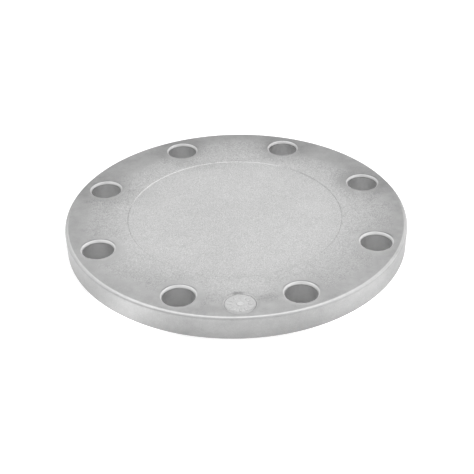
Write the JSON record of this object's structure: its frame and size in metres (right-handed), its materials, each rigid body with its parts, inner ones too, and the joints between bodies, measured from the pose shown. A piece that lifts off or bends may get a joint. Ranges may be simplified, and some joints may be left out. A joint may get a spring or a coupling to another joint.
{
  "type": "blind flange",
  "caption": "Flat round blind flange with a ring of bolt holes round a closed centre, a turned sealing face, and a round identification slug pressed into its outer face.",
  "frame": {"origin": "centre of the flat sealing face underneath", "axes": "+Z along the flange's axis, from the sealing face to the outer face; the bolt holes straddle +X and +Y, and the identification slug is towards -Y"},
  "size_m": [0.254, 0.254, 0.017],
  "materials": {
    "cast_aluminium": "shot-blasted casting with a fine matt grain; the sealing face is turned",
    "slug_aluminium": "satin, with raised marks"
  },
  "bodies": {
    "root": {"flange_disc": "cast_aluminium", "marking_slug": "slug_aluminium"}
  },
  "joints": []
}
